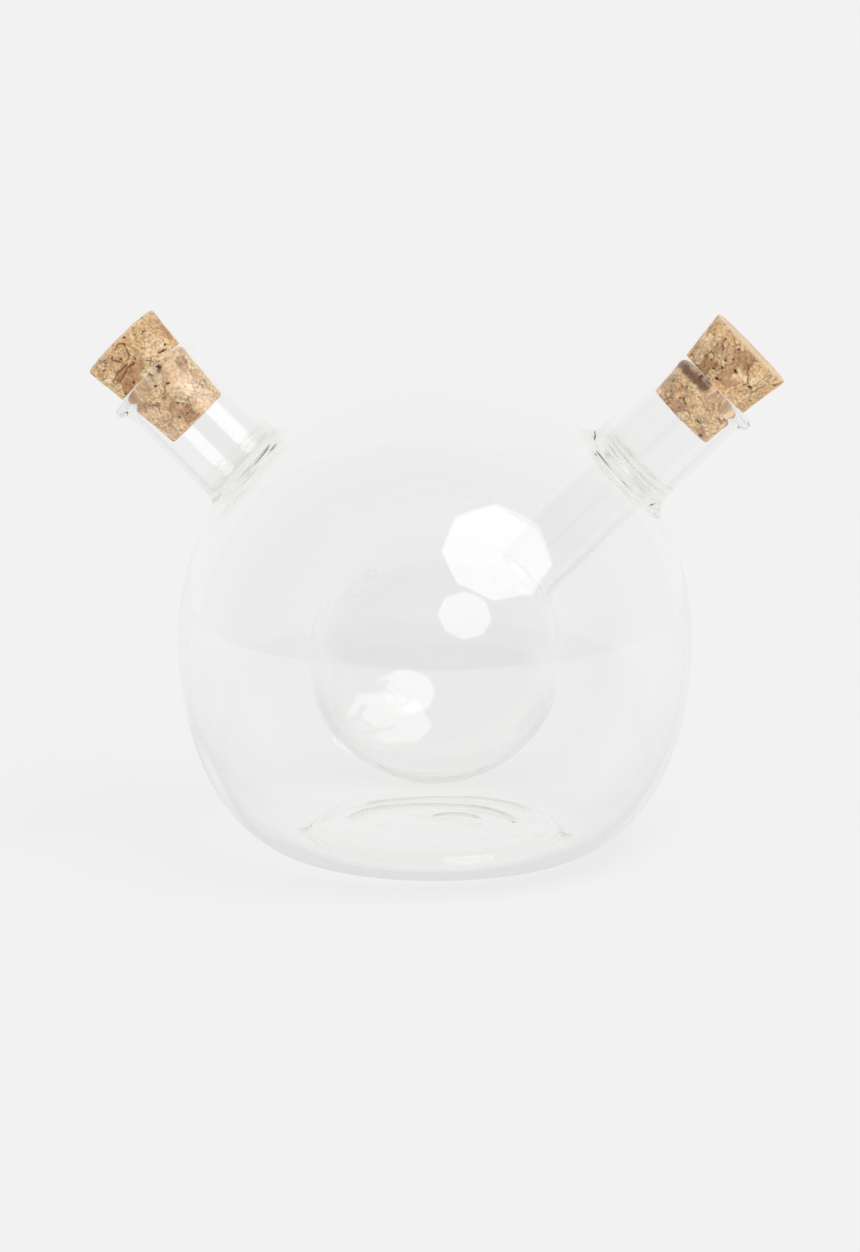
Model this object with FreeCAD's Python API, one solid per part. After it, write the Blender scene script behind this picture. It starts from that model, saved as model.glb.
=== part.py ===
import FreeCAD, Part
import math
import os

# A blown-glass cruet for oil and vinegar: a round outer vessel with a small bubble welded inside it.
# Each of the two has its own slanted neck, closed by a tapered cork.
# The glass is four blown or drawn pieces that are welded face to face: vessel, bubble and two necks.
# Millimetres, +Z up. The origin is the middle of the base, on the surface that the cruet stands on.
# +X points to the neck of the bubble, which is on the right.

# Outer vessel: a half ball above its widest ring, and a fuller, flattened bowl below it
body_radius = 60.0
belly_height = 50.0
body_wall = 1.8
bowl_fullness = 0.78
bowl_spread = 0.24

# Base: a narrow ring stands on the table, and the middle is pushed up inside it
foot_radius = 33.0
foot_land = 1.2
push_up = 3.0
push_up_radius = 28.0
base_wall = 2.0
crown_rise = 0.5
bend_fullness = 0.55

# The axes of both necks and the middle of the bubble share one point on the vessel's axis
hub_height = 45.5
neck_slope = 45.0

# Necks: two lengths of the same tube, measured along the axis from the vessel's skin to the rim
neck_outer_radius = 11.0
neck_wall = 1.7
right_neck_length = 27.9
left_neck_length = 30.2
right_weld_fillet = 4.0
left_weld_fillet = 2.8
left_mouth_round = 0.8

# Welds across the neck tubes and across the stem: how far they lie outside and inside the vessel's skin
neck_weld_height = 3.4
stem_weld_depth = 6.1

# Lips: the melted rim is drawn out on the side that pours, and hardly at all at the back
lip_reach = 1.75
lip_back = 0.15
lip_height = 4.4
lip_tip_drop = 1.75
lip_top_drop = 0.12
lip_root_depth = 0.05

# Bubble and the stem that carries it, which the ring seal joins to the vessel and its neck
bubble_radius = 29.9
bubble_wall = 1.3
stem_outer_radius = 8.7
stem_wall = 1.4
stem_fillet = 4.0
ring_seal_length = 6.5
ring_seal_fillet = 2.2

# Corks: how far each goes into its neck and stands out of it, and how its radius falls and grows to its ends
right_cork_inside = 11.0
right_cork_outside = 11.9
right_cork_inner_taper = 0.85
right_cork_outer_taper = 1.7
left_cork_inside = 15.1
left_cork_outside = 10.4
left_cork_inner_taper = 1.3
left_cork_outer_taper = 1.15
cork_edge_round = 0.5
cork_fit = 0.05

# What follows from these sizes. A reach is a distance along a neck's axis from the shared point.
slope = math.radians(neck_slope)
hub_drop = belly_height - hub_height
skin_reach = hub_drop * math.sin(slope) + math.sqrt(body_radius ** 2 - (hub_drop * math.cos(slope)) ** 2)
right_neck_reach = skin_reach + right_neck_length
left_neck_reach = skin_reach + left_neck_length
neck_weld_reach = skin_reach + neck_weld_height
stem_weld_reach = skin_reach - stem_weld_depth
neck_bore_radius = neck_outer_radius - neck_wall
stem_bore_radius = stem_outer_radius - stem_wall
inner_body_radius = body_radius - body_wall
middle_of_belly = FreeCAD.Vector(0, 0, belly_height)
hub = FreeCAD.Vector(0, 0, hub_height)
origin = FreeCAD.Vector(0, 0, 0)
up = FreeCAD.Vector(0, 0, 1)
across = FreeCAD.Vector(0, 1, 0)
RIGHT = 1
LEFT = -1
TOUCHING = 0.01


def at(radius, height):
    """A point of a profile, given by its distance from the axis and its height."""
    return FreeCAD.Vector(radius, 0, height)


def line(start, end):
    return Part.LineSegment(start, end).toShape()


def curve(*poles):
    """A smooth curve that leaves and arrives along its first and last pairs of poles."""
    bezier = Part.BezierCurve()
    bezier.setPoles(list(poles))
    return bezier.toShape()


def arc_about(middle, radius, first_angle, last_angle):
    """An arc of a profile, with its angles in degrees from the outward direction."""
    def on_arc(angle):
        turn = math.radians(angle)
        return at(middle.x + radius * math.cos(turn), middle.z + radius * math.sin(turn))
    return Part.Arc(on_arc(first_angle), on_arc((first_angle + last_angle) / 2), on_arc(last_angle)).toShape()


def turned(edges):
    """The solid swept by a closed profile that is turned about the upright axis."""
    face = Part.Face(Part.Wire(edges))
    return face.revolve(origin, up, 360)


def rod(radius, start, end):
    return Part.makeCylinder(radius, end - start, at(0, start), up)


def along_neck(shape, side):
    """Leans a shape made about the upright axis over onto a neck's axis."""
    leaned = shape.copy()
    leaned.rotate(origin, across, side * (90.0 - neck_slope))
    leaned.translate(hub)
    return leaned


def neck_axis(side):
    return FreeCAD.Vector(side * math.cos(slope), 0, math.sin(slope))


def vessel_form(radius, ring_radius, ring_land, ring_height, rise_radius, rise_height):
    """The round vessel as a full solid: half ball, bowl, standing ring and pushed-up middle."""
    top = at(0, belly_height + radius)
    belly = at(radius, belly_height)
    belly_pole = at(radius, belly_height - bowl_fullness * (belly_height - ring_height))
    ring_outside = at(ring_radius, ring_height)
    ring_pole = at(ring_radius + bowl_spread * (radius - ring_radius), ring_height)
    ring_inside = at(ring_radius - ring_land, ring_height)
    bend = bend_fullness * (ring_inside.x - rise_radius)
    bend_pole = at(ring_inside.x - bend, ring_height)
    rise_pole = at(rise_radius + bend, rise_height)
    rise_edge = at(rise_radius, rise_height)
    crown = at(0, rise_height + crown_rise)
    edges = [
        arc_about(middle_of_belly, radius, 90, 0),
        curve(belly, belly_pole, ring_pole, ring_outside),
        line(ring_outside, ring_inside),
        curve(ring_inside, bend_pole, rise_pole, rise_edge),
        curve(rise_edge, at(rise_radius * 2 / 3, rise_height), at(rise_radius / 3, crown.z), crown),
        line(crown, top),
    ]
    return turned(edges)


def outer_form():
    return vessel_form(body_radius, foot_radius, foot_land, 0, push_up_radius, push_up)


def chamber_form():
    """The space inside the outer vessel, before the bubble takes its share."""
    land = foot_land / 2
    ring = foot_radius - (foot_land - land) / 2
    rise = push_up_radius - base_wall / 2
    return vessel_form(inner_body_radius, ring, land, base_wall, rise, push_up + base_wall)


def neck_tube(reach):
    """A neck's outside, from inside the vessel to a rim melted to a full round."""
    start = body_radius / 2
    shoulder = reach - neck_wall / 2
    wall_middle = at(neck_outer_radius - neck_wall / 2, shoulder)
    edges = [
        line(at(0, start), at(neck_outer_radius, start)),
        line(at(neck_outer_radius, start), at(neck_outer_radius, shoulder)),
        arc_about(wall_middle, neck_wall / 2, 0, 180),
        line(at(neck_bore_radius, shoulder), at(0, shoulder)),
        line(at(0, shoulder), at(0, start)),
    ]
    return turned(edges)


def pouring_lip(reach, side):
    """The lip: a flared ring round the rim, set off from the neck's axis towards the side that pours."""
    offset = (lip_reach - lip_back) / 2
    tip_radius = neck_outer_radius + (lip_reach + lip_back) / 2
    root_radius = neck_outer_radius - offset - lip_root_depth
    inner_radius = neck_bore_radius / 2
    flare_height = -(lip_height + lip_tip_drop) / 2
    root = at(root_radius, -lip_height)
    tip = at(tip_radius, -lip_tip_drop)
    top = at((root_radius + tip_radius) / 2, -lip_top_drop)
    edges = [
        line(at(inner_radius, -lip_height), root),
        curve(root, at(root_radius, flare_height), at(tip_radius, flare_height), tip),
        curve(tip, at(tip_radius, -lip_top_drop), top),
        line(top, at(inner_radius, -lip_top_drop)),
        line(at(inner_radius, -lip_top_drop), at(inner_radius, -lip_height)),
    ]
    ring = turned(edges)
    ring.translate(FreeCAD.Vector(side * offset, 0, reach))
    wall_middle = neck_outer_radius - neck_wall / 2
    return ring.cut(rod(wall_middle, reach - 2 * lip_height, reach + lip_height))


def distance_from_axis(spot, side):
    from_hub = spot - hub
    return (from_hub - neck_axis(side) * from_hub.dot(neck_axis(side))).Length


def weld_edges(solid, side, tube_radius, ball_radius):
    """The edges where a tube of the given radius runs into the ball of the vessel."""
    found = []
    for edge in solid.Edges:
        length = edge.LastParameter - edge.FirstParameter
        spots = [edge.valueAt(edge.FirstParameter + share * length) for share in (0.1, 0.4, 0.7)]
        on_tube = all(abs(distance_from_axis(spot, side) - tube_radius) < TOUCHING for spot in spots)
        on_ball = all(abs(spot.distanceToPoint(middle_of_belly) - ball_radius) < TOUCHING for spot in spots)
        if on_tube and on_ball and (spots[0] - hub).dot(neck_axis(side)) > 0:
            found.append(edge)
    return found


def outside_of_glass():
    """Vessel, necks, welds and lips, still without their hollows."""
    form = outer_form()
    for side, reach in ((RIGHT, right_neck_reach), (LEFT, left_neck_reach)):
        form = form.fuse(along_neck(neck_tube(reach), side))
    for side, fillet in ((RIGHT, right_weld_fillet), (LEFT, left_weld_fillet)):
        form = form.makeFillet(fillet, weld_edges(form, side, neck_outer_radius, body_radius))
    for side, reach in ((RIGHT, right_neck_reach), (LEFT, left_neck_reach)):
        form = form.fuse(along_neck(pouring_lip(reach, side), side))
    return form


def ball_and_stem(ball_radius, stem_radius, throat_radius):
    """The profile of a blown ball that runs up into its stem in a hollow curve."""
    throat_height = math.sqrt((ball_radius + throat_radius) ** 2 - (stem_radius + throat_radius) ** 2)
    throat_middle = at(stem_radius + throat_radius, throat_height)
    lean = math.degrees(math.atan2(throat_height, throat_middle.x))
    edges = [
        arc_about(origin, ball_radius, -90, lean),
        arc_about(throat_middle, throat_radius, lean + 180, 180),
    ]
    return edges, at(stem_radius, throat_height)


def bubble_outside():
    """The bubble and its stem, up to the weld that joins the stem to the ring seal."""
    edges, stem_foot = ball_and_stem(bubble_radius, stem_outer_radius, stem_fillet)
    edges += [
        line(stem_foot, at(stem_outer_radius, stem_weld_reach)),
        line(at(stem_outer_radius, stem_weld_reach), at(0, stem_weld_reach)),
        line(at(0, stem_weld_reach), at(0, -bubble_radius)),
    ]
    return along_neck(turned(edges), RIGHT)


def bubble_hollow():
    """The bubble's space: ball, throat, stem bore, ring seal and the wider bore of its neck."""
    ball_radius = bubble_radius - bubble_wall
    edges, stem_foot = ball_and_stem(ball_radius, stem_bore_radius, stem_fillet + bubble_wall)
    seal_foot = skin_reach - ring_seal_length / 2
    seal_top = skin_reach + ring_seal_length / 2
    above_rim = right_neck_reach + neck_wall
    edges += [
        line(stem_foot, at(stem_bore_radius, seal_foot)),
        curve(at(stem_bore_radius, seal_foot), at(stem_bore_radius, skin_reach),
              at(neck_bore_radius, skin_reach), at(neck_bore_radius, seal_top)),
        line(at(neck_bore_radius, seal_top), at(neck_bore_radius, above_rim)),
        line(at(neck_bore_radius, above_rim), at(0, above_rim)),
        line(at(0, above_rim), at(0, -ball_radius)),
    ]
    return along_neck(turned(edges), RIGHT)


def chamber_hollow():
    """The outer vessel's space, open through the left neck, less the end of the stem at the ring seal."""
    space = chamber_form()
    space = space.fuse(along_neck(rod(neck_bore_radius, body_radius / 2, left_neck_reach + neck_wall), LEFT))
    space = space.makeFillet(left_mouth_round, weld_edges(space, LEFT, neck_bore_radius, inner_body_radius))
    space = space.cut(along_neck(rod(stem_outer_radius, stem_weld_reach, right_neck_reach), RIGHT))
    return space.makeFillet(ring_seal_fillet, weld_edges(space, RIGHT, stem_outer_radius, inner_body_radius))


def inner_bubble():
    return bubble_outside().cut(bubble_hollow())


def vessel_and_necks():
    """The outer vessel and its two necks, parted at the welds across the tubes."""
    vessel = outside_of_glass().cut(chamber_hollow()).cut(bubble_hollow())
    necks = []
    for side, reach in ((RIGHT, right_neck_reach), (LEFT, left_neck_reach)):
        beyond_weld = along_neck(rod(2 * neck_outer_radius, neck_weld_reach, reach + neck_wall), side)
        necks.append(vessel.common(beyond_weld))
        vessel = vessel.cut(beyond_weld)
    return vessel, necks[0], necks[1]


def cork(inside, outside, inner_taper, outer_taper):
    """A tapered cork, pinched where the neck grips it. Its heights are measured from the rim."""
    grip_radius = neck_bore_radius - cork_fit
    grip_height = -neck_wall / 2
    inner_radius = grip_radius - inner_taper
    outer_radius = grip_radius + outer_taper
    inner_slope = inner_taper / (inside + grip_height)
    outer_slope = outer_taper / (outside - grip_height)
    inner_edge = at(inner_radius + inner_slope * cork_edge_round, cork_edge_round - inside)
    outer_edge = at(outer_radius - outer_slope * cork_edge_round, outside - cork_edge_round)
    inner_end = at(inner_radius - cork_edge_round, -inside)
    outer_end = at(outer_radius - cork_edge_round, outside)
    grip = at(grip_radius, grip_height)
    edges = [
        line(at(0, -inside), inner_end),
        curve(inner_end, at(inner_radius, -inside), inner_edge),
        line(inner_edge, grip),
        line(grip, outer_edge),
        curve(outer_edge, at(outer_radius, outside), outer_end),
        line(outer_end, at(0, outside)),
        line(at(0, outside), at(0, -inside)),
    ]
    return turned(edges)


def seated_cork(shape, side, reach):
    shape.translate(FreeCAD.Vector(0, 0, reach))
    return along_neck(shape, side)


outer_vessel, right_neck, left_neck = vessel_and_necks()
right_cork = cork(right_cork_inside, right_cork_outside, right_cork_inner_taper, right_cork_outer_taper)
left_cork = cork(left_cork_inside, left_cork_outside, left_cork_inner_taper, left_cork_outer_taper)
pieces = {
    "outer_vessel": outer_vessel,
    "inner_bubble": inner_bubble(),
    "right_neck": right_neck,
    "left_neck": left_neck,
    "right_cork": seated_cork(right_cork, RIGHT, right_neck_reach),
    "left_cork": seated_cork(left_cork, LEFT, left_neck_reach),
}

os.makedirs("parts", exist_ok=True)
for name, shape in pieces.items():
    shape.exportStep("parts/" + name + ".step")
    box = shape.BoundBox
    print(name, "valid" if shape.isValid() else "not valid", "solids", len(shape.Solids),
          "volume", round(shape.Volume, 1), "x", round(box.XMin, 2), round(box.XMax, 2),
          "z", round(box.ZMin, 2), round(box.ZMax, 2))
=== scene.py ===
import bmesh
import bpy
import numpy as np
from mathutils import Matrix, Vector


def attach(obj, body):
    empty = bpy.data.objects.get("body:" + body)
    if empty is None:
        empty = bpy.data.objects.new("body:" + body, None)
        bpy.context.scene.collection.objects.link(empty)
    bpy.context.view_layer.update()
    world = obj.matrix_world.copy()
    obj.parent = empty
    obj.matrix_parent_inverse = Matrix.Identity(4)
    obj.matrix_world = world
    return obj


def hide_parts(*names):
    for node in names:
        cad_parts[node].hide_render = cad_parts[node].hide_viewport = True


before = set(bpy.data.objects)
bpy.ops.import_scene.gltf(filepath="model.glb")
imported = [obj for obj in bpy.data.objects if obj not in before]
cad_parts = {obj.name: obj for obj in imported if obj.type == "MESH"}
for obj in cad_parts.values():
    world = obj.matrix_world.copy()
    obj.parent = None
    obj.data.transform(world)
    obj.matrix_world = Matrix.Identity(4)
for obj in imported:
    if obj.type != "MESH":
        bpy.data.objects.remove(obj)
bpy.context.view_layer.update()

# Outer vessel
# A ball of clear borosilicate glass, blown 120 mm across with a 1.8 mm wall. Its lower half is a fuller
# bowl that was pressed flat, so that it stands on a narrow ring with the middle pushed up inside it.
# Its floor kept a few crescent folds and drops from the pressing. Lengths are in mm until a mesh is made.
metres = 0.001
ball_radius = 60.0
chamber_radius = 58.2
belly_height = 50.0
ball_middle = np.array([0.0, 0.0, belly_height])
bowl_fullness, bowl_flatness, bowl_steps = 0.78, 0.24, 34
crown_height = 0.5
ball_columns = 192
ball_step = 2.0
# The window left open for each neck, in rows and columns of the ball's grid.
window_top, window_bottom, window_half = 13, 35, 16
# Length and depth of the waves that the blowing left in the wall, outside and inside.
outer_waves, inner_waves = (34.0, 0.06), (22.0, 0.12)
# A fold is a part of a ring: its middle across and back, its radius, half its width and half its turn.
floor_folds = [(1.3, 0.7, 23.3, 1.1, 1.15), (-1.0, -5.7, 21.0, 1.0, 1.30), (5.0, -1.5, 6.0, 0.8, 1.30)]
floor_drops = [(-31.0, -1.0), (31.2, -1.8)]
drop_width = 1.8
fold_height, ripple_height = 0.6, 0.08
floor_top = 10.0


def smooth_curve(poles, steps):
    """Points of a curve that its poles pull along: each two neighbouring poles are mixed by the share of
    the way run, and the mixes again, until one point is left."""
    share = np.linspace(0.0, 1.0, steps + 1)[:, None, None]
    points = np.asarray(poles, float)[None] * np.ones_like(share)
    while points.shape[1] > 1:
        points = points[:, :-1] * (1.0 - share) + points[:, 1:] * share
    return points[:, 0]


def vessel_profile(radius, ring, land, ring_height, rise_edge, rise_height, crown_steps):
    """Distance from the axis and height, from the top of the ball to the middle of the base: a quarter
    circle, a bowl on one cubic curve, the flat of the standing ring, an S-bend and a low crown."""
    lean = np.radians(np.arange(0.0, 90.0 + ball_step / 2, ball_step))
    ball = np.stack([radius * np.sin(lean), belly_height + radius * np.cos(lean)], axis=1)
    bowl = smooth_curve([(radius, belly_height),
                         (radius, belly_height - bowl_fullness * (belly_height - ring_height)),
                         (ring + bowl_flatness * (radius - ring), ring_height),
                         (ring, ring_height)], bowl_steps)
    inside = ring - land
    bend = 0.55 * (inside - rise_edge)
    flat = smooth_curve([(ring, ring_height), (inside, ring_height)], 2)
    rise = smooth_curve([(inside, ring_height), (inside - bend, ring_height),
                         (rise_edge + bend, rise_height), (rise_edge, rise_height)], 12)
    top = rise_height + crown_height
    crown = smooth_curve([(rise_edge, rise_height), (rise_edge * 2 / 3, rise_height),
                          (rise_edge / 3, top), (0.0, top)], crown_steps)
    return np.concatenate([ball, bowl[1:], flat[1:], rise[1:], crown[1:]])


def turned_upright(profile):
    """The profile carried round the upright axis: x and y are its distance from the axis times the cosine
    and the sine of the turn."""
    turn = np.arange(ball_columns) * 2 * np.pi / ball_columns
    x = profile[:, :1] * np.cos(turn)
    y = profile[:, :1] * np.sin(turn)
    z = profile[:, 1:] + 0 * turn
    return np.stack([x, y, z], axis=-1)


def uneven(places, wave_length, seed):
    """A smooth uneven number at each place, mostly between -1 and 1: 1.7 times the mean of six sine waves
    that run in random directions."""
    random = np.random.default_rng(seed)
    directions = random.normal(size=(6, 3))
    directions /= np.linalg.norm(directions, axis=1, keepdims=True)
    waves = places @ (directions.T * 2 * np.pi / wave_length) + random.uniform(0, 2 * np.pi, 6)
    return np.sin(waves).mean(axis=-1) * 1.7


def blown(points, wave_length, depth, seed):
    """The points moved in towards the ball's middle by a smooth uneven depth. It fades out from 8 to 1 mm
    of height, and from 68 to 82 mm from the middle, so that the foot and the rims stay in place."""
    from_middle = points - ball_middle
    away = np.linalg.norm(from_middle, axis=-1)
    above_foot = np.clip((points[..., 2] - 1.0) / 7.0, 0.0, 1.0)
    below_rims = np.clip((82.0 - away) / 14.0, 0.0, 1.0)
    fade = above_foot * below_rims
    sunk = 0.5 * depth * (1.0 - uneven(points, wave_length, seed)) * fade
    return points - from_middle * (sunk / away)[..., None]


def folds_and_drops(points):
    """How much of a fold or a drop there is at each place of the floor, from 0 to 1. A fold has a bell
    curve across its ring and fades out at both ends, and a drop is a bell curve all round."""
    across, back = points[..., 0], points[..., 1]
    shares = []
    for middle_x, middle_y, radius, half_width, half_turn in floor_folds:
        apart = np.hypot(across - middle_x, back - middle_y) - radius
        turn = np.abs(np.arctan2(across - middle_x, back - middle_y))
        shares.append(np.exp(-(apart / half_width) ** 2) * np.clip((half_turn - turn) / 0.25, 0.0, 1.0))
    for drop_x, drop_y in floor_drops:
        apart = np.hypot(across - drop_x, back - drop_y)
        shares.append(np.exp(-(apart / drop_width) ** 2))
    return np.max(shares, axis=0) * (points[..., 2] < floor_top)


def pressed(points):
    """The floor inside the vessel, raised by its folds and drops, and by uneven ripples 11 mm long that
    fade out over the last 5 mm before the standing ring."""
    from_axis = np.hypot(points[..., 0], points[..., 1])
    share = np.clip((31.0 - from_axis) / 5.0, 0.0, 1.0) * (points[..., 2] < floor_top)
    ripples = ripple_height * (1.0 + uneven(points * (1.0, 1.0, 0.0), 11.0, 5)) * share
    lift = ripples + fold_height * folds_and_drops(points)
    return points + lift[..., None] * (0.0, 0.0, 1.0)


def grid_faces(rows, columns, first=0):
    """Four corners of each cell of a grid that closes on itself across its columns: the point's own
    number, the one beside it, and the two of the next row."""
    row, column = np.meshgrid(np.arange(rows - 1), np.arange(columns), indexing="ij")
    beside = (column + 1) % columns
    here, below = row * columns, (row + 1) * columns
    corners = [here + column, here + beside, below + beside, below + column]
    return np.stack(corners, axis=-1).reshape(-1, 4) + first


def outside_windows(cell_rows):
    """True for each cell of the ball's grid that isn't in the window left open for a neck on either
    side: its row and its columns from the window's middle are compared with the window's size."""
    row, column = np.meshgrid(np.arange(cell_rows), np.arange(ball_columns), indexing="ij")
    from_right = (column + ball_columns // 2) % ball_columns - ball_columns // 2
    from_left = column - ball_columns // 2
    in_rows = (row >= window_top) & (row < window_bottom)
    near_right = (from_right >= -window_half) & (from_right < window_half)
    near_left = (from_left >= -window_half) & (from_left < window_half)
    return ~(in_rows & (near_right | near_left)).reshape(-1)


def window_edge(grid):
    """The points round the right window, from the middle of its lower side towards +Y and back."""
    side_rows = window_bottom - window_top
    rows = np.concatenate([np.full(window_half, window_bottom),
                           np.arange(window_bottom, window_top, -1),
                           np.full(2 * window_half, window_top),
                           np.arange(window_top, window_bottom),
                           np.full(window_half, window_bottom)])
    columns = np.concatenate([np.arange(0, window_half),
                              np.full(side_rows, window_half),
                              np.arange(window_half, -window_half, -1),
                              np.full(side_rows, -window_half),
                              np.arange(-window_half, 0)])
    return grid[rows, columns % ball_columns]


skin = turned_upright(vessel_profile(
    ball_radius, ring=33.0, land=1.2, ring_height=0.0, rise_edge=28.0, rise_height=3.0,
    crown_steps=8))
chamber = turned_upright(vessel_profile(
    chamber_radius, ring=32.7, land=0.6, ring_height=2.0, rise_edge=27.0, rise_height=5.0,
    crown_steps=48))
# Each grid of the glass comes with the cells that are kept, and with how much painted shade darkens its
# folds, drops and welds.
glass_grids = [
    (blown(skin, *outer_waves, seed=1), outside_windows(len(skin) - 1), 0.0),
    (blown(pressed(chamber), *inner_waves, seed=2), outside_windows(len(chamber) - 1),
     folds_and_drops(chamber)),
]

# Necks
# Two lengths of 22 mm glass tube with a 1.7 mm wall lean out at 45 degrees, and are welded to the ball
# with a soft fillet. Each rim was melted round in the flame, and drawn out on its outer side into a
# small lip that pours without a drip.
hub_height = 45.5
belly_offset = (belly_height - hub_height) / np.sqrt(2.0)
skin_reach = belly_offset + np.sqrt(ball_radius ** 2 - belly_offset ** 2)
right_rim = skin_reach + 27.9
left_rim = skin_reach + 30.2
tube_radius, bore_radius, tube_wall = 11.0, 9.3, 1.7
right_fillet, left_fillet, mouth_round = 4.0, 2.8, 0.8
lip_start, lip_bend, lip_widest = -4.4, -3.075, -1.75
lip_circle, lip_offset = 11.95, 0.8
outer_rings, right_inner_rings, left_inner_rings = 0.28, 0.14, 0.20
outer_spread, inner_spread = 6, 8
neck_columns = 2 * (window_bottom - window_top) + 4 * window_half
neck_turn = np.arange(neck_columns) * 2 * np.pi / neck_columns
all_round = np.zeros(neck_columns)
mirrored = np.array([-1.0, 1.0, 1.0])


def round_right_axis(reach, radius, turn=neck_turn):
    """Points round the right neck's axis, which leans 45 degrees from the hub: reach along it, and radius
    times the cosine and sine of the turn across it. A turn of zero is the lower, outer side."""
    reach, radius = np.broadcast_arrays(reach, radius)
    sideways = radius * np.cos(turn)
    x = (reach + sideways) / np.sqrt(2.0)
    y = radius * np.sin(turn)
    z = hub_height + (reach - sideways) / np.sqrt(2.0)
    return np.stack([x, y, z], axis=-1)


def rolled_corner(ball, tube, roll, side, steps=20):
    """Reach and radius of the rounding where a tube runs into the ball, at each turn. In the plane of
    that turn the ball is a circle, and a rolling circle touches it and the tube. side is 1 outside the
    ball and -1 inside it."""
    middle_radius = -belly_offset * np.cos(neck_turn)
    ball_here = np.sqrt(ball ** 2 - (belly_offset * np.sin(neck_turn)) ** 2)
    across = tube + roll - middle_radius
    along = np.sqrt((ball_here + side * roll) ** 2 - across ** 2)
    start = np.arctan2(-side * across, -side * along)
    angle = start + (-np.pi / 2 - start) * np.linspace(0.0, 1.0, steps + 1)[:, None]
    return belly_offset + along + roll * np.cos(angle), tube + roll + roll * np.sin(angle)


def along_tube(weld, lip):
    """Rows along a tube from its weld to its lip, both left out. They lie closest together at the weld:
    the share of the way is the share of the steps to the power 1.4."""
    share = np.linspace(0.0, 1.0, 37)[1:-1, None] ** 1.4
    return weld + (lip - weld) * share


def spread_on_ball(ring, edge, radius, steps):
    """Rows of points from the window's edge to a ring, mixed in a straight line and pushed out onto the
    ball."""
    share = np.linspace(0.0, 1.0, steps + 1)[:-1, None, None]
    rows = edge[None] * (1.0 - share) + ring[None] * share
    from_middle = rows - ball_middle
    return ball_middle + from_middle * radius / np.linalg.norm(from_middle, axis=-1, keepdims=True)


def lip_and_rim(rim):
    """Reach and radius over the lip, from the tube's outside to its bore: an S-bend out to the tip, a
    quarter turn up to the rim and a round into the bore. The tip lies on a circle set off the axis."""
    tip = lip_offset * np.cos(neck_turn) + np.sqrt(lip_circle ** 2 - (lip_offset * np.sin(neck_turn)) ** 2)
    tube = np.full(neck_columns, tube_radius)
    middle = np.full(neck_columns, tube_radius - tube_wall / 2)
    shoulder = middle + 0.62 * (tip - middle)
    reach, radius = [], []
    for heights, radii in (
        ((lip_start, lip_bend, lip_bend, lip_widest), (tube, tube, tip, tip)),
        ((lip_widest, -0.75, 0.0, 0.0), (tip, tip, shoulder, middle)),
    ):
        reach.append(rim + smooth_curve([(height,) for height in heights], 10) + all_round)
        radius.append(smooth_curve(radii, 10))
    round_in = np.radians(np.arange(90.0, 181.0, 11.25))[:, None]
    reach.append(rim - tube_wall / 2 * (1.0 - np.sin(round_in)) + all_round)
    radius.append(middle + tube_wall / 2 * np.cos(round_in) + all_round)
    reach = np.concatenate([reach[0], reach[1][1:], reach[2][1:]])
    radius = np.concatenate([radius[0], radius[1][1:], radius[2][1:]])
    return reach, radius


def weld_rings(reach, height, phase):
    """Height of the two soft rings, 4 mm apart, that the melting left round a weld. Each is a bell curve
    along the neck, and its height rises and falls round the neck on a sine wave."""
    first = np.exp(-((reach - skin_reach + 0.8) / 0.7) ** 2)
    second = np.exp(-((reach - skin_reach - 3.2) / 0.6) ** 2)
    first = first * (1.0 + 0.8 * np.sin(3 * neck_turn + phase))
    second = second * (1.0 + 0.8 * np.sin(4 * neck_turn + 2 * phase))
    return 0.5 * height * (first + second)


def neck_outside(rim, fillet, phase):
    """Reach and radius from the ball's skin over the weld, along the tube and over the lip, into the
    bore: a rolled corner, a straight line and the lip, with the weld's rings added."""
    weld_reach, weld_radius = rolled_corner(ball_radius, tube_radius, fillet, 1)
    lip_reach, lip_radius = lip_and_rim(rim)
    tube_reach = along_tube(weld_reach[-1], lip_reach[0])
    reach = np.concatenate([weld_reach, tube_reach, lip_reach])
    radius = np.concatenate([weld_radius, np.full_like(tube_reach, tube_radius), lip_radius])
    return reach, radius + weld_rings(reach, outer_rings, phase)


# The left neck is one skin of glass: from the ball over the weld and the rim, and down the bore into the
# chamber. It is worked out on the right and mirrored. The right neck's skin ends in the bubble.
right_reach, right_radius = neck_outside(right_rim, right_fillet, phase=0.6)
left_reach, left_radius = neck_outside(left_rim, left_fillet, phase=2.2)
mouth_reach, mouth_radius = rolled_corner(chamber_radius, bore_radius, mouth_round, 1, steps=6)
bore_reach = along_tube(mouth_reach[-1], left_reach[-1])[::-1]
inside_reach = np.concatenate([bore_reach, mouth_reach[::-1]])
inside_radius = np.concatenate([np.full_like(bore_reach, bore_radius), mouth_radius[::-1]])
inside_radius = inside_radius - weld_rings(inside_reach, left_inner_rings, phase=0.3)
left_rows = round_right_axis(np.concatenate([left_reach, inside_reach]),
                             np.concatenate([left_radius, inside_radius]))
left_skin = spread_on_ball(left_rows[0], window_edge(skin), ball_radius, outer_spread)
left_chamber = spread_on_ball(left_rows[-1], window_edge(chamber), chamber_radius, inner_spread)[::-1]
left_rows = np.concatenate([left_skin, left_rows, left_chamber]) * mirrored

# Bubble
# A second, smaller ball was blown on a stem of its own and let in through the right neck. The ring seal,
# where stem, vessel and neck were melted together, is the only thing that holds it, so the right neck
# pours from the bubble.
bubble_radius, bubble_hollow_radius = 29.9, 28.6
stem_radius, stem_bore = 8.7, 7.3
seal_fillet, seal_spread = 2.2, 3.25
outer_throat, inner_throat = 4.0, 5.3


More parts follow.
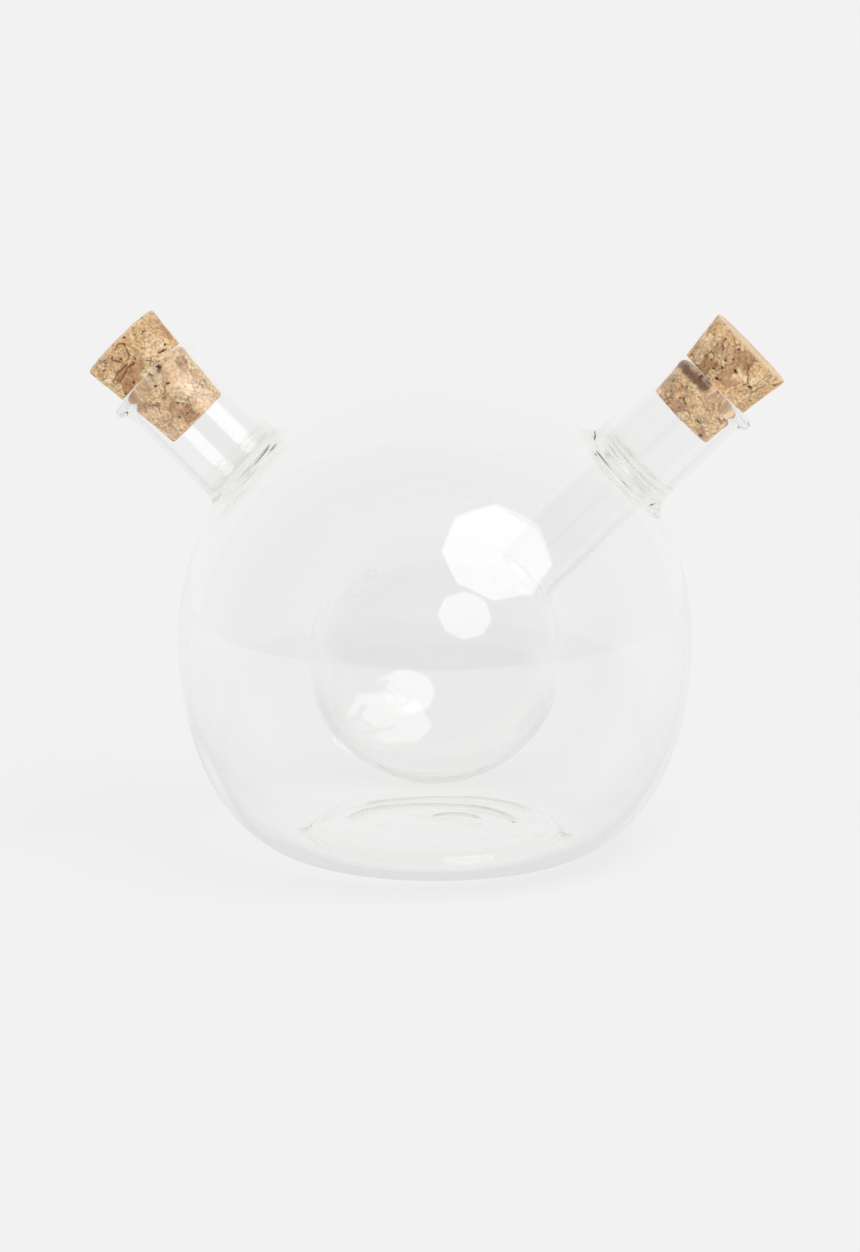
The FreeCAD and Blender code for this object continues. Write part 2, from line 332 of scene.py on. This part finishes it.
def ball_on_stem(ball, stem, throat, first_reach):
    """Reach and radius down a stem, through its hollow throat and over the ball to its pole: a straight
    line, a part of a circle that touches the stem and the ball, and the ball's own circle."""
    throat_reach = np.sqrt((ball + throat) ** 2 - (stem + throat) ** 2)
    lean = np.arctan2(throat_reach, stem + throat)
    stem_reach = first_reach + (throat_reach - first_reach) * np.linspace(0.0, 1.0, 15)[:, None]
    throat_turn = np.linspace(np.pi, np.pi + lean, 13)[1:, None]
    ball_turn = np.linspace(lean, -np.pi / 2, 61)[1:, None]
    reach = np.concatenate([stem_reach,
                            throat_reach + throat * np.sin(throat_turn) + all_round,
                            ball * np.sin(ball_turn) + all_round])
    radius = np.concatenate([np.full_like(stem_reach, stem),
                             stem + throat + throat * np.cos(throat_turn) + all_round,
                             ball * np.cos(ball_turn) + all_round])
    return reach, radius


# From the chamber's wall over the seal, down the stem and round the bubble.
seal_reach, seal_radius = rolled_corner(chamber_radius, stem_radius, seal_fillet, -1)
stem_reach, bubble_outer = ball_on_stem(bubble_radius, stem_radius, outer_throat, seal_reach[-1])
bubble_rows = round_right_axis(np.concatenate([seal_reach, stem_reach[1:]]),
                               np.concatenate([seal_radius, bubble_outer[1:]]))
bubble_skin = spread_on_ball(bubble_rows[0], window_edge(chamber), chamber_radius, inner_spread)
bubble_rows = np.concatenate([bubble_skin, bubble_rows])

# From the ball over the right neck, down its bore and through the seal into the bubble.
seal_curve = smooth_curve([(skin_reach + seal_spread, bore_radius), (skin_reach, bore_radius),
                           (skin_reach, stem_bore), (skin_reach - seal_spread, stem_bore)], 24)
below_seal = np.full(neck_columns, skin_reach - seal_spread)
above_seal = np.full(neck_columns, skin_reach + seal_spread)
hollow_reach, hollow_radius = ball_on_stem(bubble_hollow_radius, stem_bore, inner_throat, below_seal)
bore_reach = along_tube(above_seal, right_reach[-1])[::-1]
inside_reach = np.concatenate([bore_reach, seal_curve[:-1, :1] + all_round, hollow_reach])
inside_radius = np.concatenate([np.full_like(bore_reach, bore_radius),
                                seal_curve[:-1, 1:] + all_round, hollow_radius])
inside_radius = inside_radius - weld_rings(inside_reach, right_inner_rings, phase=1.7)
right_rows = round_right_axis(np.concatenate([right_reach, inside_reach]),
                              np.concatenate([right_radius, inside_radius]))
right_skin = spread_on_ball(right_rows[0], window_edge(skin), ball_radius, outer_spread)
right_rows = np.concatenate([right_skin, right_rows])

# The glass in one piece
# Ball, necks and bubble were melted together in the flame, so that nothing in the glass comes apart. The
# glass of the floor's folds and drops, and a little round the welds, is tinted a darker olive: painted
# shade for the dark lines that light shows in thick glass there.


def blown_wall(rows, outside_count, inner_seed):
    """A skin of glass whose first rows are its outside. Each side of the wall is uneven in a way of its
    own, by the formula of blown."""
    outer = blown(rows[:outside_count], *outer_waves, seed=1)
    return np.concatenate([outer, blown(rows[outside_count:], *inner_waves, seed=inner_seed)])


def painted_weld_shade(rows):
    """How much painted shade darkens the glass round a weld, at each place: a bell curve of the distance
    from the ball's middle, which fades out beyond the fillet round the neck."""
    from_middle = np.linalg.norm(rows - ball_middle, axis=-1)
    across = (np.abs(rows[..., 0]) - rows[..., 2] + hub_height) / np.sqrt(2.0)
    from_neck = np.hypot(across, rows[..., 1])
    near_neck = np.clip((17.0 - from_neck) / 4.0, 0.0, 1.0)
    return 0.16 * np.exp(-((from_middle - 61.5) / 2.5) ** 2) * near_neck


glass_grids += [
    (blown_wall(right_rows, outer_spread + len(right_reach), 3), None, painted_weld_shade(right_rows)),
    (blown_wall(left_rows, outer_spread + len(left_reach), 2), None, painted_weld_shade(left_rows)),
    (blown_wall(bubble_rows, 0, 2), None, 0.0),
]
points, faces, painted_shades, used = [], [], [], 0
# The third entry of each grid is its share of painted shade.
for grid, kept, fold in glass_grids:
    cells = grid_faces(grid.shape[0], grid.shape[1], used)
    faces.append(cells if kept is None else cells[kept])
    points.append(grid.reshape(-1, 3))
    painted_shades.append(np.broadcast_to(fold, grid.shape[:2]).reshape(-1))
    used += len(points[-1])
points, faces, painted_shades = np.concatenate(points) * metres, np.concatenate(faces), np.concatenate(painted_shades)


def smooth_piece(name, points, faces, **marks):
    """A mesh object of these points and four-cornered faces. Its doubles are merged, its faces are turned
    outwards, and each mark becomes a number kept at every point."""
    mesh = bpy.data.meshes.new(name)
    mesh.from_pydata(points.tolist(), [], faces.tolist())
    for mark, values in marks.items():
        mesh.attributes.new(mark, "FLOAT", "POINT").data.foreach_set("value", values)
    work = bmesh.new()
    work.from_mesh(mesh)
    bmesh.ops.remove_doubles(work, verts=work.verts, dist=2e-6)
    loose = [vertex for vertex in work.verts if not vertex.link_faces]
    bmesh.ops.delete(work, geom=loose, context="VERTS")
    bmesh.ops.recalc_face_normals(work, faces=work.faces)
    work.to_mesh(mesh)
    work.free()
    mesh.shade_smooth()
    piece = bpy.data.objects.new(name, mesh)
    bpy.context.scene.collection.objects.link(piece)
    return piece


def empty_tree(owner):
    """The node tree of a material or world, with nothing in it."""
    owner.use_nodes = True
    owner.node_tree.nodes.clear()
    return owner.node_tree


def node(tree, kind, sockets, **settings):
    """A shader node. Settings go on the node itself, and each named socket gets a value or a link."""
    made = tree.nodes.new("ShaderNode" + kind)
    for name, value in settings.items():
        setattr(made, name, value)
    for name, value in sockets.items():
        if isinstance(value, bpy.types.NodeSocket):
            tree.links.new(value, made.inputs[name])
        else:
            made.inputs[name].default_value = value
    return made


def maths(tree, operation, first, second):
    """The result of one sum on two numbers or sockets, as a socket."""
    return node(tree, "Math", {0: first, 1: second}, operation=operation).outputs[0]


def ranged(tree, value, low, high, at_low=0.0, at_high=1.0):
    """A socket that runs evenly from at_low to at_high as the value goes from low to high, and stays
    level beyond them."""
    return node(tree, "MapRange", {
        "Value": value, "From Min": low, "From Max": high, "To Min": at_low, "To Max": at_high}).outputs[0]


def mixed(tree, share, first, second):
    """A socket between two numbers, or two colours, by a share of the second."""
    if isinstance(second, tuple):
        return node(tree, "Mix", {0: share, 6: first, 7: second}, data_type="RGBA").outputs[2]
    return node(tree, "Mix", {0: share, 2: first, 3: second}).outputs[0]


def turned_more(tree, rays, limit):
    """Whether a ray has been mirrored more often than this, on the glass or inside its wall."""
    return maths(tree, "GREATER_THAN", rays.outputs["Glossy Depth"], limit)


cruet_glass = smooth_piece("cruet_glass", points, faces, fold=painted_shades)

clear_glass = bpy.data.materials.new("clear_borosilicate")
tree = empty_tree(clear_glass)
rays = node(tree, "LightPath", {})
# Painted shade: folds, drops and welds are tinted a darker olive, for the dark lines that light shows in
# thick glass.
painted_shade_mark = node(tree, "Attribute", {}, attribute_name="fold")
glass_colour_with_painted_shade = mixed(tree, painted_shade_mark.outputs["Fac"], (1.0, 1.0, 1.0, 1.0), (0.62, 0.61, 0.49, 1.0))
clear = node(tree, "BsdfPrincipled", {
    "Base Color": glass_colour_with_painted_shade, "Roughness": 0.0, "IOR": 1.473, "Transmission Weight": 1.0})
# Lamp light loses a little where it goes straight through the wall and more where it grazes it. A ray
# that the wall has turned back five times is let out too, as light caught in a real wall leaks out.
slant = node(tree, "LayerWeight", {"Blend": 0.5})
passed = ranged(tree, slant.outputs["Facing"], 0.45, 1.0, 0.997, 0.15)
caught = turned_more(tree, rays, 4.5)
let_through = node(tree, "BsdfTransparent", {"Color": maths(tree, "MAXIMUM", passed, caught)})
straight_through = maths(tree, "MAXIMUM", rays.outputs["Is Shadow Ray"], caught)
surface = node(tree, "MixShader", {0: straight_through, 1: clear.outputs[0], 2: let_through.outputs[0]})
tint = node(tree, "VolumeAbsorption", {"Color": (0.90, 0.92, 0.83, 1.0), "Density": 13.0})
node(tree, "OutputMaterial", {"Surface": surface.outputs[0], "Volume": tint.outputs[0]})
cruet_glass.data.materials.append(clear_glass)
cruet_glass.visible_diffuse = False
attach(cruet_glass, "vessel")
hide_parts("outer_vessel", "inner_bubble", "left_neck", "right_neck")

# Corks
# Two tapered stoppers of agglomerated cork: bark granules of 2 to 5 mm, pressed together and ground to
# a taper. Each is pushed into its neck by hand, as deep as it grips. Crumbs have broken out along some
# of the seams.
cork_columns = 320
cork_turn = np.arange(cork_columns) * 2 * np.pi / cork_columns
cork_cell = 0.185
edge_round = 0.7
grip_radius = bore_radius - 0.06
grip_height = -tube_wall / 2
granule_count = 620
seam_depth, pit_depth, broken_depth = 0.09, 0.34, 0.30
granule_depth, grain_depth, hollow_depth = 0.03, 0.012, 0.05


def cork_profile(inside, outside, inner_taper, outer_taper):
    """Height above the rim and radius, in equal steps from the middle of the inner end to the middle of
    the outer end. Both edges are worn round, and the cork is narrowest where the neck grips it."""
    inner_radius = grip_radius - inner_taper
    outer_radius = grip_radius + outer_taper
    inner_slope = inner_taper / (inside + grip_height) * edge_round
    outer_slope = outer_taper / (outside - grip_height) * edge_round
    inner_edge = smooth_curve([(-inside, inner_radius - edge_round), (-inside, inner_radius),
                               (edge_round - inside, inner_radius + inner_slope)], 8)
    outer_edge = smooth_curve([(outside - edge_round, outer_radius - outer_slope), (outside, outer_radius),
                               (outside, outer_radius - edge_round)], 8)
    line = np.concatenate([[(-inside, 0.0)], inner_edge, [(grip_height, grip_radius)],
                           outer_edge, [(outside, 0.0)]])
    run = np.concatenate([[0.0], np.cumsum(np.linalg.norm(np.diff(line, axis=0), axis=1))])
    even = np.linspace(0.0, run[-1], int(run[-1] / cork_cell) + 1)
    return np.stack([np.interp(even, run, line[:, 0]), np.interp(even, run, line[:, 1])], axis=1)


def granules(places, seed):
    """What granule each place lies in: a number of the granule's own, a wave along its grain, and the
    distance by which the next granule is further off. A granule holds the places whose distance to its
    middle, less its own size, is the least, in a space bent by uneven waves so that its sides are
    crooked."""
    random = np.random.default_rng(seed)
    middles = random.uniform((-11.5, -11.5, -17.0), (11.5, 11.5, 14.0), (granule_count, 3))
    sizes = 1.5 * random.random(granule_count) ** 2
    numbers = random.random(granule_count)
    grains = random.normal(size=(granule_count, 3))
    grains /= np.linalg.norm(grains, axis=1, keepdims=True)
    bend = np.stack([0.42 * uneven(places, 3.1, seed + 1 + k) + 0.16 * uneven(places, 1.1, seed + 4 + k)
                     for k in range(3)], axis=-1)
    bent = places + bend
    nearest, gap = [], []
    for block in np.array_split(bent, 24):
        squares = (block ** 2).sum(1)[:, None] - 2 * block @ middles.T + (middles ** 2).sum(1)
        lead = np.sqrt(np.maximum(squares, 0.0)) - sizes
        first_two = np.argpartition(lead, 1, axis=1)[:, :2]
        leads = np.take_along_axis(lead, first_two, axis=1)
        nearest.append(first_two[:, 0])
        gap.append(leads[:, 1] - leads[:, 0])
    nearest, gap = np.concatenate(nearest), np.concatenate(gap)
    along = (bent * grains[nearest]).sum(axis=1)
    grain = np.sin(2 * np.pi * along / (0.7 + 0.6 * numbers[nearest]) + 9.0 * numbers[nearest])
    return numbers[nearest], grain, gap


def nearness(turns, heights, strokes):
    """How near each place on a cork's side is to the nearest of the strokes, from 0 to 1: a flat-topped
    bell curve of the distance on the side unrolled flat. A stroke is a half width and a chain of turns
    in degrees and heights."""
    flat = np.stack([np.angle(np.exp(1j * turns)) * grip_radius, heights], axis=-1)
    near = np.zeros(len(flat))
    for half_width, *chain in strokes:
        corners = np.array(chain, float) * (np.pi / 180 * grip_radius, 1.0)
        for start, end in zip(corners[:-1], corners[1:]):
            along = end - start
            share = np.clip(((flat - start) @ along) / (along @ along), 0.0, 1.0)
            apart = np.linalg.norm(flat - start - share[:, None] * along, axis=1)
            near = np.maximum(near, np.exp(-(apart / half_width) ** 4))
    return near


def cork_piece(name, body, rim, mirror, sizes, seed, strokes, slant, dome):
    """A cork in its neck: its profile carried round the neck's axis. Its surface is sunk along the seams,
    along the strokes and in pits, by up to 0.5 mm. Its outer end is cut lower at the front by twice the
    slant, and stands up in the middle by the dome."""
    profile, outside = cork_profile(*sizes), sizes[1]
    along = np.gradient(profile, axis=0)
    inward = np.stack([along[:, 1], -along[:, 0]], axis=1) / np.linalg.norm(along, axis=1, keepdims=True)
    heights = np.broadcast_to(profile[:, :1], (len(profile), cork_columns))
    radii = profile[:, 1:] + 0 * cork_turn
    places = np.stack([radii * np.cos(cork_turn), radii * np.sin(cork_turn), heights], axis=-1)
    places = places.reshape(-1, 3)
    granule, grain, gap = granules(places, seed)
    open_share = np.clip(0.5 + 0.9 * uneven(places, 5.0, seed + 8), 0.0, 1.0)
    seam = np.exp(-(gap / 0.09) ** 2) * (0.2 + 0.7 * open_share)
    pit = np.clip(uneven(places, 1.3, seed + 9) * 6.0 - 4.6, 0.0, 1.0) * np.exp(-(gap / 0.5) ** 2)
    turns = np.arctan2(places[:, 1], places[:, 0])
    on_side = radii.reshape(-1) > grip_radius - 1.6
    crooked = 0.22 * uneven(places, 1.6, seed + 10)
    broken = nearness(turns + crooked / grip_radius, places[:, 2] + crooked, strokes) * on_side
    sunk = seam_depth * seam + pit_depth * pit + broken_depth * broken
    sunk = sunk + granule_depth * granule + grain_depth * (1 + grain)
    sunk = sunk + hollow_depth * (1 + uneven(places, 4.0, seed + 11))
    sunk = sunk.reshape(heights.shape) * np.clip(radii / 1.5, 0.0, 1.0)
    from_axis = radii / radii.max()
    outwards = np.clip(heights / outside, 0.0, 1.0)
    shaped = heights - slant * (1.0 - from_axis * np.sin(cork_turn)) * outwards
    shaped = shaped + dome * (1.0 - from_axis ** 2) * (heights > outside - 0.001)
    surface = round_right_axis(rim + shaped + sunk * inward[:, :1], radii + sunk * inward[:, 1:], cork_turn)
    # The outer end is paler: partly wear, partly a painted highlight on its lit edge.
    worn = np.exp(-((heights - outside) / 0.6) ** 2) * np.where(radii > radii.max() - 1.2, 1.0, 0.6)
    piece = smooth_piece(name, surface.reshape(-1, 3) * mirror * metres,
                         grid_faces(len(profile), cork_columns), granule=granule, grain=grain,
                         seam=np.maximum(seam, 0.9 * broken), pit=pit, worn=worn.reshape(-1))
    piece.data.materials.append(pressed_cork)
    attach(piece, body)
    piece.visible_glossy = False
    return piece


pressed_cork = bpy.data.materials.new("agglomerated_cork")
tree = empty_tree(pressed_cork)
where = node(tree, "TexCoord", {})
granule_mark, grain_mark, seam_mark, pit_mark, worn_mark = (
    node(tree, "Attribute", {}, attribute_name=mark).outputs["Fac"]
    for mark in ("granule", "grain", "seam", "pit", "worn"))
# Each granule has a brown of its own, by its number.
granule_colour = node(tree, "ValToRGB", {"Fac": granule_mark})
for place, colour in ((0.0, (0.82, 0.50, 0.25)), (0.30, (0.98, 0.69, 0.38)), (0.55, (0.84, 0.53, 0.28)),
                      (0.80, (1.0, 0.76, 0.47)), (1.0, (0.56, 0.29, 0.14))):
    stops = granule_colour.color_ramp.elements
    stop = stops[0] if place == 0.0 else stops[-1] if place == 1.0 else stops.new(place)
    stop.position, stop.color = place, (*colour, 1.0)
speckle = node(tree, "TexNoise", {
    "Vector": where.outputs["Object"], "Scale": 1400.0, "Detail": 3.0, "Roughness": 0.65}).outputs["Fac"]
blotch = node(tree, "TexNoise", {
    "Vector": where.outputs["Object"], "Scale": 260.0, "Detail": 2.0}).outputs["Fac"]
contour = node(tree, "TexNoise", {
    "Vector": where.outputs["Object"], "Scale": 340.0, "Detail": 1.5, "Roughness": 0.5}).outputs["Fac"]
speckled = ranged(tree, speckle, 0.38, 0.62, 0.81, 1.29)
# The fine brown curls are the lines where the contour noise is near one half, in the darker blotches.
from_half = maths(tree, "ABSOLUTE", maths(tree, "SUBTRACT", contour, 0.5), 0.0)
curled = ranged(tree, from_half, 0.003, 0.015, 0.62, 0.0)
flecked = maths(tree, "MULTIPLY", curled, ranged(tree, blotch, 0.52, 0.43))
blotched = ranged(tree, blotch, 0.35, 0.65, 0.86, 1.08)
grained = ranged(tree, grain_mark, -1.0, 1.0, 0.80, 1.06)
shade = maths(tree, "MULTIPLY", maths(tree, "MULTIPLY", speckled, blotched), grained)
shaded = node(tree, "VectorMath", {
    0: granule_colour.outputs["Color"], "Scale": shade}, operation="SCALE").outputs[0]
# The outer end is paler, partly from wear and partly as a painted highlight on its lit edge, and its seams
# fade there. Seams and pits are dark.
lined = maths(tree, "MAXIMUM", seam_mark, flecked)
lined = maths(tree, "MULTIPLY", lined, ranged(tree, worn_mark, 0.0, 1.0, 1.0, 0.35))
shaded = mixed(tree, worn_mark, shaded, (0.96, 0.74, 0.50, 1.0))
seamed = mixed(tree, lined, shaded, (0.18, 0.07, 0.026, 1.0))
pitted = mixed(tree, pit_mark, seamed, (0.06, 0.03, 0.015, 1.0))
bump = node(tree, "Bump", {"Height": speckle, "Strength": 0.7, "Distance": 0.00012})
cork_skin = node(tree, "BsdfPrincipled", {
    "Base Color": pitted, "Roughness": ranged(tree, speckle, 0.0, 1.0, 0.70, 0.95),
    "Specular IOR Level": 0.25, "Normal": bump.outputs["Normal"]})
# What the glass mirrors goes past the corks, which would show as brown patches beside the necks.
left_out = node(tree, "BsdfTransparent", {})
mirrored_ray = turned_more(tree, node(tree, "LightPath", {}), 0.5)
cork_or_clear = node(tree, "MixShader", {0: mirrored_ray, 1: cork_skin.outputs[0], 2: left_out.outputs[0]})
node(tree, "OutputMaterial", {"Surface": cork_or_clear.outputs[0]})

# Where crumbs have broken out, or cracks have opened, on each cork. The right cork's wide stroke just under
# the rim is a band sunk and darkened in the same way.
left_strokes = [
    (0.20, (-129, 7.5), (-127, 7.4)),
    (0.15, (-87, 9.1), (-94, 9.6), (-101, 8.7), (-98, 7.2), (-96, 6.0), (-89, 5.4)),
    (0.13, (-79, 8.5), (-74, 8.0), (-79, 6.4)),
    (0.15, (-86, 5.0), (-70, 4.9), (-45, 4.5)),
    (0.12, (-92, 4.2), (-75, 3.9), (-56, 3.4)),
    (0.28, (-127, 1.8), (-134, 1.3), (-143, 0.9)),
    (0.14, (-111, 1.7), (-106, 2.3)),
    (0.17, (-86, -6.8), (-89, -6.5)),
    (0.15, (-99, -10.6), (-101, -10.5)),
    (0.15, (-95, -0.9), (-97, -1.2)),
    (0.12, (-60, -5.2), (-72, -6.8), (-64, -8.4)),
]
right_strokes = [
    (0.17, (-128, 9.4), (-127, 7.9), (-120, 7.0)),
    (0.14, (-134, 3.4), (-132, 5.0), (-124, 4.8), (-122, 3.5)),
    # A wide band sunk and darkened just under the rim.
    (0.75, (-176, -2.3), (-150, -2.2), (-120, -2.0), (-100, -1.8)),
    (0.30, (-112, -7.0), (-104, -7.6)),
    (0.16, (-106, -9.2), (-104, -9.0)),
    (0.16, (-38, 3.2), (-33, 3.4)),
    (0.13, (-99, 1.3), (-92, 2.0)),
    (0.12, (-84, 8.8), (-76, 8.1), (-72, 6.6), (-64, 5.9), (-66, 4.6)),
    (0.12, (-48, 9.6), (-41, 7.9), (-46, 6.2)),
]
left_cork = cork_piece("left_cork_granules", "left_stopper", left_rim, mirrored,
                       sizes=(15.1, 10.4, 1.3, 1.15), seed=12, strokes=left_strokes, slant=0.0, dome=0.6)
right_cork = cork_piece("right_cork_granules", "right_stopper", right_rim, 1.0,
                        sizes=(11.0, 11.9, 0.85, 1.7), seed=24, strokes=right_strokes, slant=0.15, dome=0.0)
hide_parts("left_cork")
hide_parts("right_cork")

# Table, paper roll and softbox
# The cruet stands on a pale round table in front of a roll of white paper, in a dimmer room. An
# eight-sided softbox stands on the right, in front and above. It and the roll show only mirrored or
# through the glass, and a broad lamp from that side lights the corks and casts the shadow.
scene = bpy.context.scene
pale = 0.888
table_radius = 0.85
table_reflected = 0.80
underneath_shadow_level = 0.76
room_front, room_behind, room_low = 0.50, 0.74, 0.40
flag_level = 0.10
room_light = 0.571
softbox_level = 2.6
softbox_distance, softbox_half_width, softbox_half_height = 1.15, 0.50, 0.45
softbox_azimuth, softbox_elevation = np.radians(40.2), np.radians(43.9)
lamp_strength, lamp_spread = 0.30 * np.pi, np.radians(44.0)


def glowing(owner, strength, kind="Emission"):
    """A material or world that gives off plain white light of this strength, a number or a socket of its
    tree."""
    tree = owner.node_tree
    light = node(tree, kind, {"Color": (1.0, 1.0, 1.0, 1.0), "Strength": strength})
    output = "OutputWorld" if kind == "Background" else "OutputMaterial"
    node(tree, output, {"Surface": light.outputs[0]})


def flat_piece(name, corners, material):
    """A flat piece of the studio with these corners."""
    mesh = bpy.data.meshes.new(name)
    mesh.from_pydata([tuple(corner) for corner in corners], [], [tuple(range(len(corners)))])
    mesh.materials.append(material)
    piece = bpy.data.objects.new(name, mesh)
    scene.collection.objects.link(piece)
    return piece


def reflected_once(tree, rays):
    """Whether the glass reflected a ray exactly once. A ray that ran on inside the glass wall comes out
    anywhere, so it counts as one that went straight through."""
    glossy = rays.outputs["Glossy Depth"]
    return node(tree, "Math", {0: glossy, 1: 1.0, 2: 0.5}, operation="COMPARE").outputs[0]


# The room, as the world: pale straight behind the glass, and dimmer where the glass mirrors it, most of
# all low down in front. Two dark flags high at the sides show only in rays turned back twice or more,
# as dark streaks in the welds.
scene.world = bpy.data.worlds.new("studio_room")
tree = empty_tree(scene.world)
rays = node(tree, "LightPath", {})
direction = node(tree, "TexCoord", {})
split = node(tree, "SeparateXYZ", {0: direction.outputs["Generated"]})
frontness = ranged(tree, split.outputs["Y"], 0.35, -0.05)
lowness = ranged(tree, split.outputs["Z"], 0.22, 0.08)
rightness = ranged(tree, split.outputs["X"], -1.0, 1.0, 0.74, 1.10)
front_level = maths(tree, "MULTIPLY", mixed(tree, lowness, room_front, room_low), rightness)
behind_level = ranged(tree, split.outputs["Y"], 0.35, 0.95, room_behind, 0.86)
mirrored_level = mixed(tree, frontness, behind_level, front_level)
sideways = maths(tree, "ABSOLUTE", split.outputs["X"], 0.0)
at_flag = maths(tree, "MULTIPLY", ranged(tree, sideways, 0.65, 0.75),
                ranged(tree, split.outputs["Z"], 0.20, 0.30))
flag_share = maths(tree, "MULTIPLY", at_flag, turned_more(tree, rays, 1.5))
straight_level = mixed(tree, flag_share, pale, flag_level)
seen_level = mixed(tree, reflected_once(tree, rays), straight_level, mirrored_level)
lighting = maths(tree, "GREATER_THAN", rays.outputs["Diffuse Depth"], 0.5)
glowing(scene.world, mixed(tree, lighting, seen_level, room_light), "Background")

# The table: near the cruet it is a dull surface that takes a shadow, and further off only its glow is
# left, so that it ends at the same level as the room behind it. Rays turned back twice or more find a
# slightly darker patch under the cruet: a painted contact shadow, a glow at a fixed lower level.
table_top = bpy.data.materials.new("pale_table")
tree = empty_tree(table_top)
rays = node(tree, "LightPath", {})
where = node(tree, "TexCoord", {})
across = node(tree, "SeparateXYZ", {0: where.outputs["Object"]})
from_cruet = node(tree, "VectorMath", {0: where.outputs["Object"]}, operation="LENGTH").outputs["Value"]
dull_share = ranged(tree, from_cruet, 0.25, 0.60, 0.50, 0.0)
dull = node(tree, "BsdfDiffuse", {"Color": dull_share})
glow_level = maths(tree, "SUBTRACT", pale, maths(tree, "MULTIPLY", dull_share, 0.832))
glow = node(tree, "Emission", {"Strength": glow_level})
lit = node(tree, "AddShader", {0: dull.outputs[0], 1: glow.outputs[0]})
# Painted shade: in what the glass mirrors once, the table glows lower in front of the cruet than behind it,
# and darker towards the left, away from the softbox.
rightness = ranged(tree, across.outputs["X"], -0.4, 0.4, 0.85, 1.0)
mirrored_level = mixed(tree, ranged(tree, across.outputs["Y"], 0.0, 0.15),
                       maths(tree, "MULTIPLY", rightness, table_reflected), 0.845)
mirrored_glow = node(tree, "Emission", {"Strength": mirrored_level})
# Painted contact shadow: a darker glow under the cruet, for rays turned back twice or more.
painted_shadow_share = maths(tree, "MULTIPLY", ranged(tree, from_cruet, 0.040, 0.032), turned_more(tree, rays, 1.5))
painted_shadow_glow = node(tree, "Emission", {"Strength": underneath_shadow_level})
lit = node(tree, "MixShader", {0: painted_shadow_share, 1: lit.outputs[0], 2: painted_shadow_glow.outputs[0]})
top = node(tree, "MixShader", {
    0: reflected_once(tree, rays), 1: lit.outputs[0], 2: mirrored_glow.outputs[0]})
node(tree, "OutputMaterial", {"Surface": top.outputs[0]})
table_turn = np.arange(96) * 2 * np.pi / 96
table_edge = [table_radius * np.cos(table_turn), table_radius * np.sin(table_turn), np.full(96, -0.0001)]
flat_piece("table", np.stack(table_edge, axis=1), table_top)

white_paper = bpy.data.materials.new("white_paper")
empty_tree(white_paper)
glowing(white_paper, pale)
paper_corners = [(-1.67, 1.15, -0.05), (1.03, 1.15, -0.05), (1.03, 1.15, 3.54), (-1.67, 1.15, 3.54)]
paper_roll = flat_piece("paper_roll", paper_corners, white_paper)

# The softbox is bright where the glass mirrors it once, and no brighter than the room in other rays.
level = np.cos(softbox_elevation)
to_softbox = np.array([np.sin(softbox_azimuth) * level, -np.cos(softbox_azimuth) * level,
                       np.sin(softbox_elevation)])
box_across = np.array([np.cos(softbox_azimuth), np.sin(softbox_azimuth), 0.0])
box_up = np.cross(to_softbox, box_across)
corner_turn = np.radians(22.5 + 45.0 * np.arange(8))[:, None]
box_corners = ball_middle * metres + to_softbox * softbox_distance + (
    softbox_half_width * np.cos(corner_turn) * box_across
    + softbox_half_height * np.sin(corner_turn) * box_up)
softbox_cloth = bpy.data.materials.new("softbox_cloth")
tree = empty_tree(softbox_cloth)
rays = node(tree, "LightPath", {})
glowing(softbox_cloth, mixed(tree, reflected_once(tree, rays), pale, softbox_level))
softbox = flat_piece("softbox", box_corners, softbox_cloth)
for piece in (paper_roll, softbox):
    piece.visible_camera = False
    piece.visible_diffuse = False
    piece.visible_shadow = False

lamp_data = bpy.data.lights.new("softbox_light", "SUN")
lamp_data.energy = lamp_strength
lamp_data.angle = lamp_spread
lamp = bpy.data.objects.new("softbox_light", lamp_data)
scene.collection.objects.link(lamp)
lamp.rotation_mode = "QUATERNION"
lamp.rotation_quaternion = Vector((0.38, -0.32, 0.87)).to_track_quat("Z", "Y")
lamp.visible_glossy = False
lamp.visible_transmission = False

# Camera
# The camera stands 0.7 m from the cruet and 0.18 m up, 4 degrees to the right, and looks 10 degrees
# down at a place 52.5 mm above the table.
camera_data = bpy.data.cameras.new("camera")
camera = bpy.data.objects.new("camera", camera_data)
scene.collection.objects.link(camera)
scene.camera = camera
image_height, focal_pixels = 1252, 3037.6
camera_data.sensor_width = 36.0
camera_data.lens = focal_pixels / image_height * camera_data.sensor_width
camera_data.clip_start, camera_data.clip_end = 0.01, 50.0
camera_away, camera_height, camera_aside, aim_height = 0.700, 0.178, -0.00122, 0.0525
swing = np.radians(4.0)
pitch = np.arctan2(camera_height - aim_height, camera_away)
ahead = np.array([-np.sin(swing), np.cos(swing), 0.0])
rightwards = np.array([np.cos(swing), np.sin(swing), 0.0])
upwards = np.array([0.0, 0.0, 1.0])
camera.location = -ahead * camera_away + rightwards * camera_aside + upwards * camera_height
camera.rotation_mode = "QUATERNION"
aim = Vector(ahead * np.cos(pitch) - upwards * np.sin(pitch))
camera.rotation_quaternion = aim.to_track_quat("-Z", "Y")

scene.view_settings.view_transform = "Standard"
# Light turns many times inside the glass walls before it comes out.
scene.cycles.max_bounces = 64
scene.cycles.transmission_bounces = 64
scene.cycles.glossy_bounces = 64
scene.cycles.transparent_max_bounces = 64
